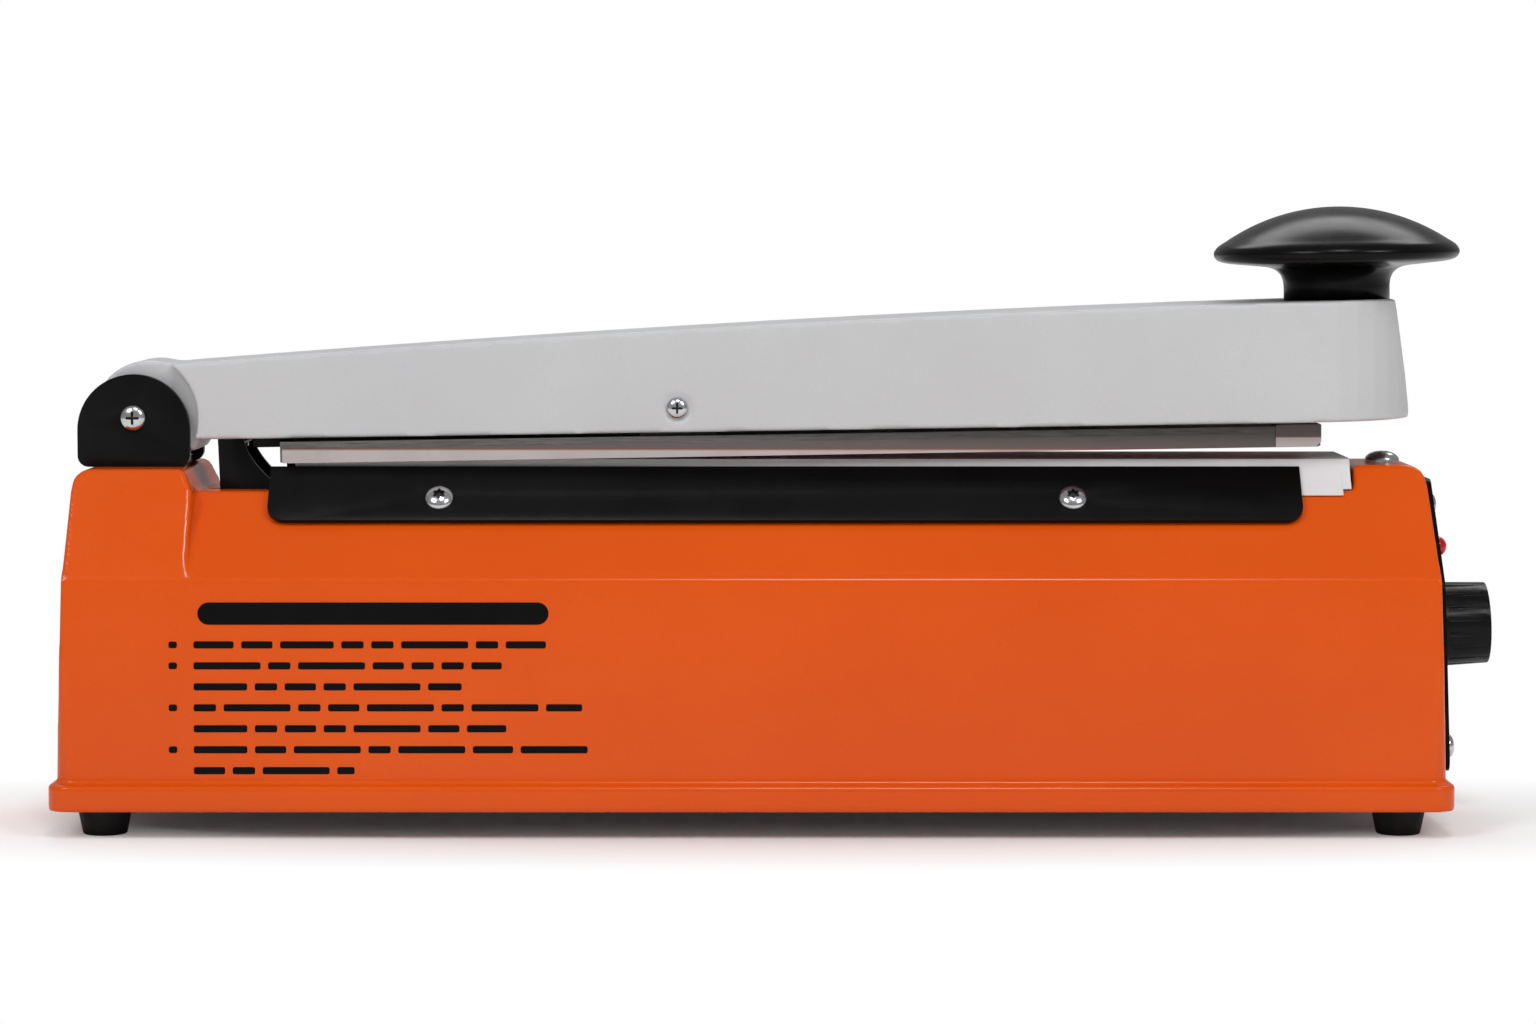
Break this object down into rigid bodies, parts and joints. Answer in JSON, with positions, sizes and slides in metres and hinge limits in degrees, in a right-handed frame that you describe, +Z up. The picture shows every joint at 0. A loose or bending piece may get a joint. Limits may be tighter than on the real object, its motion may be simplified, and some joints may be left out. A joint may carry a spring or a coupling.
{
  "type": "impulse heat sealer",
  "caption": "Hand impulse heat sealer: hollow metal base with a heated rail, hinged press arm with a mushroom knob, timer dial and lamp on the end wall.",
  "frame": {"origin": "on the surface the feet stand on, under the middle of the bounding box", "axes": "+Z up, +X along the arm from the hinge to the knob, -Y to the front"},
  "size_m": [0.3286, 0.08, 0.1418],
  "materials": {
    "orange_paint": "gloss",
    "zinc_steel": "satin",
    "foot_rubber": "matte",
    "black_paint": "satin",
    "rail_aluminium": "satin",
    "glass_tape": "matte",
    "element_wire": "satin",
    "brass": "satin",
    "insulator": "matte",
    "ptfe_cloth": "satin",
    "bar_cloth": "satin",
    "core_steel": "matte",
    "coil_varnish": "gloss",
    "dark_plastic": "matte",
    "spring_steel": "gloss",
    "panel_black": "satin",
    "red_lens": "gloss",
    "board_green": "satin",
    "relay_blue": "satin",
    "capacitor_sleeve": "gloss",
    "arm_grey": "satin",
    "knob_black": "gloss",
    "bar_metal": "satin",
    "silicone_red": "matte",
    "dial_black": "satin"
  },
  "bodies": {
    "base": {"body_shell": "orange_paint", "base_plate": "zinc_steel", "feet": "foot_rubber", "foot_screws": "zinc_steel", "hinge_bracket": "black_paint", "bracket_screws": "zinc_steel", "hinge_bolt": "zinc_steel", "hinge_nut": "zinc_steel", "lower_rail": "rail_aluminium", "rail_screws": "zinc_steel", "insulating_strip": "glass_tape", "heating_element": "element_wire", "element_terminals": "brass", "terminal_bushes": "insulator", "rail_cloth": "ptfe_cloth", "front_clamp": "black_paint", "rear_clamp": "black_paint", "clamp_screws": "zinc_steel", "block_screw": "zinc_steel", "transformer_core": "core_steel", "transformer_coil": "coil_varnish", "transformer_strap": "zinc_steel", "transformer_screws": "zinc_steel", "switch_bracket": "zinc_steel", "switch_case": "dark_plastic", "switch_screws": "zinc_steel", "spring_anchor": "zinc_steel", "return_spring": "spring_steel", "control_panel": "panel_black", "panel_screws": "zinc_steel", "timer_pot": "dark_plastic", "pot_nut": "zinc_steel", "indicator_lamp": "red_lens", "lamp_holder": "dark_plastic", "timer_board": "board_green", "board_standoffs": "brass", "board_screws": "zinc_steel", "timer_relay": "relay_blue", "board_capacitors": "capacitor_sleeve", "terminal_block": "insulator", "cord_gland": "foot_rubber"},
    "arm": {"press_arm": "arm_grey", "hinge_bush": "brass", "hook_plate": "black_paint", "hook_screws": "zinc_steel", "hook_pad": "foot_rubber", "spring_pin": "zinc_steel", "bar_screw": "zinc_steel", "bar_nut": "zinc_steel", "mushroom_knob": "knob_black", "knob_stud": "zinc_steel", "knob_nut": "zinc_steel"},
    "bar": {"press_bar": "bar_metal", "silicone_strip": "silicone_red", "press_cloth": "bar_cloth"},
    "dial": {"timer_knob": "dial_black", "timer_shaft": "zinc_steel"},
    "lever": {"switch_lever": "spring_steel"},
    "button": {"switch_button": "red_lens"}
  },
  "joints": [
    {"name": "arm_hinge", "type": "hinge", "parent": "base", "child": "arm", "pos_m": [-0.14759, 0, 0.0936], "axis": [0, -1, 0], "range_deg": [-0.95, 14], "stiffness_Nm_per_rad": 0.35, "deforming": ["return_spring"]},
    {"name": "bar_rock", "type": "hinge", "parent": "arm", "child": "bar", "pos_m": [-0.02321, 0, 0.09606], "axis": [0, -1, 0], "range_deg": [-0.28, 0.019]},
    {"name": "timer_turn", "type": "hinge", "parent": "base", "child": "dial", "pos_m": [0.14877, 0, 0.0449], "axis": [0.9994, 0, 0.0349], "range_deg": [-135, 135]},
    {"name": "lever_tilt", "type": "hinge", "parent": "base", "child": "lever", "pos_m": [-0.13079, 0, 0.0585], "axis": [0, -1, 0], "range_deg": [-0.33, 4.9]},
    {"name": "button_press", "type": "slide", "parent": "base", "child": "button", "axis": [0, 0, 1], "range_m": [-0.00002985, 0.00043982]}
  ],
  "couplings": [
    {"joint": "bar_rock", "follows": "arm_hinge", "ratio": -0.02},
    {"joint": "lever_tilt", "follows": "arm_hinge", "ratio": 0.35},
    {"joint": "button_press", "follows": "arm_hinge", "m_per_rad": 0.0018}
  ]
}
